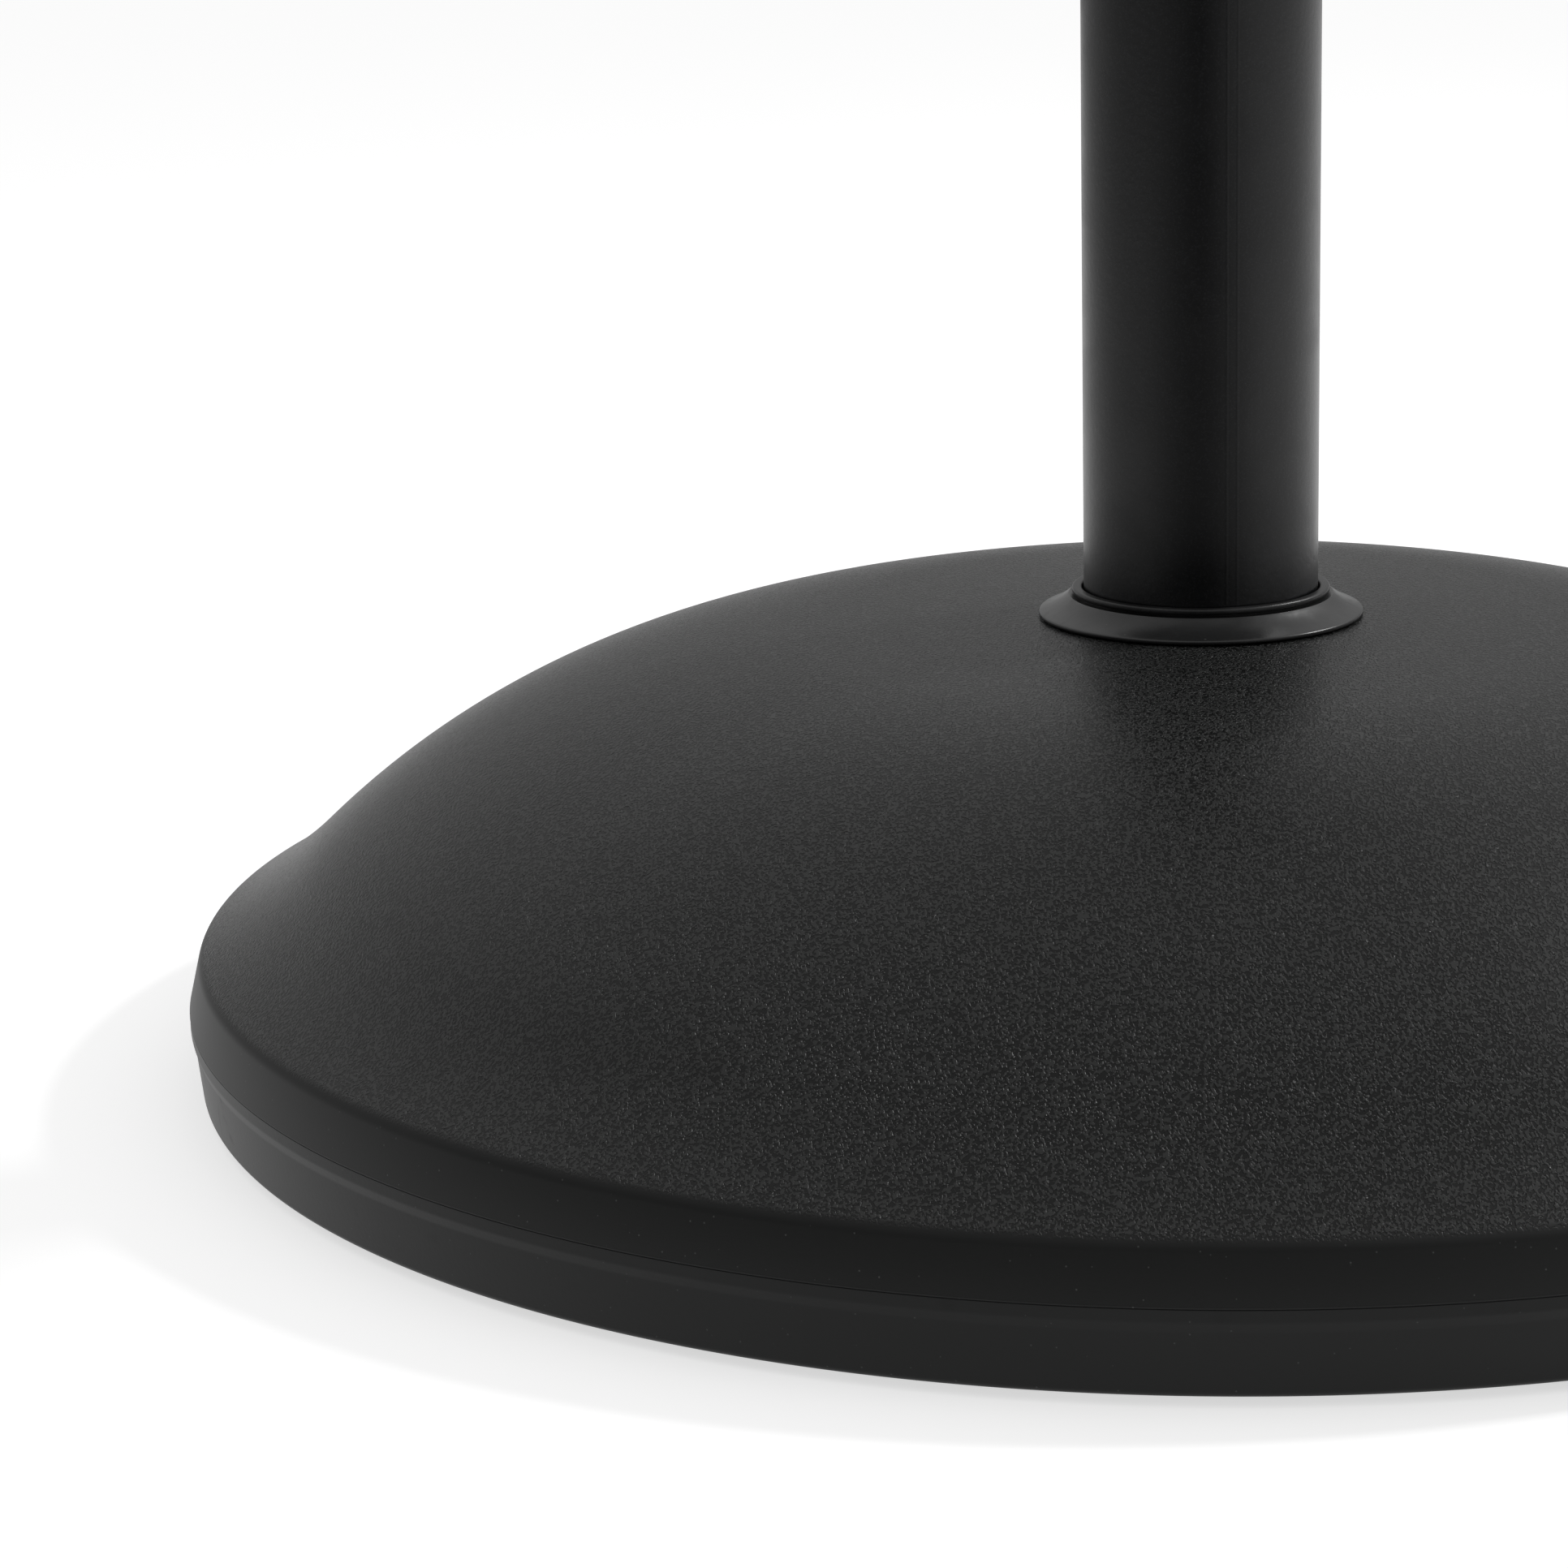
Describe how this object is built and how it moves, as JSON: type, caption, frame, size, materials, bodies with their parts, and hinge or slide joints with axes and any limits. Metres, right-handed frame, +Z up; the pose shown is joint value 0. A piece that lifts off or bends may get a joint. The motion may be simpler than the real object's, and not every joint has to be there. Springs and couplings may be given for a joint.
{
  "type": "parasol base",
  "caption": "Round low-domed weighted parasol base with a grained plastic shell, a central steel tube, a sliding collar, a reducer sleeve and a side clamp knob.",
  "frame": {"origin": "centre of the underside on the tube's axis, at the level the feet stand on", "axes": "+Z up along the tube's axis, +X from the tube towards the clamp knob"},
  "size_m": [0.449, 0.449, 0.3625],
  "materials": {
    "cover_plastic": "matte",
    "pan_plastic": "satin",
    "collar_plastic": "satin",
    "seal_rubber": "satin",
    "powder_coat": "satin",
    "zinc_steel": "satin",
    "nylon": "satin",
    "sleeve_plastic": "matte",
    "knob_plastic": "satin",
    "foot_rubber": "matte",
    "concrete": "matte"
  },
  "bodies": {
    "base": {"top_cover": "cover_plastic", "bottom_pan": "pan_plastic", "concrete_fill": "concrete", "shell_screws": "zinc_steel", "tube": "powder_coat", "tube_end_plate": "zinc_steel", "tube_weld_nut": "zinc_steel", "centre_bolt": "zinc_steel", "spring_washer": "zinc_steel", "load_washer": "zinc_steel", "tube_bush": "nylon", "pole_seat": "nylon", "clamp_boss": "powder_coat", "foot_pad_1": "foot_rubber", "foot_pad_2": "foot_rubber", "foot_pad_3": "foot_rubber", "foot_pad_4": "foot_rubber", "foot_pad_5": "foot_rubber", "foot_pad_6": "foot_rubber", "filler_plug_1": "pan_plastic", "filler_plug_2": "pan_plastic"},
    "collar": {"collar_ring": "collar_plastic", "collar_seal": "seal_rubber"},
    "sleeve": {"reducer_sleeve": "sleeve_plastic"},
    "pad": {"clamp_pad": "nylon"},
    "knob": {"knob_grip": "knob_plastic", "clamp_screw": "zinc_steel", "knob_cap": "knob_plastic"}
  },
  "joints": [
    {"name": "collar_slide", "type": "slide", "parent": "base", "child": "collar", "axis": [0, 0, 1], "range_m": [0, 0.185]},
    {"name": "sleeve_lift", "type": "slide", "parent": "base", "child": "sleeve", "axis": [0, 0, 1], "range_m": [0, 0.11]},
    {"name": "screw_travel", "type": "slide", "parent": "base", "child": "pad", "axis": [-1, 0, 0], "range_m": [0, 0.01]},
    {"name": "knob_turn", "type": "hinge", "parent": "pad", "child": "knob", "pos_m": [0.05, 0, 0.3], "axis": [-1, 0, 0], "range_deg": [0, 2880]}
  ],
  "couplings": [
    {"joint": "screw_travel", "follows": "knob_turn", "m_per_rad": 0.00019894}
  ]
}
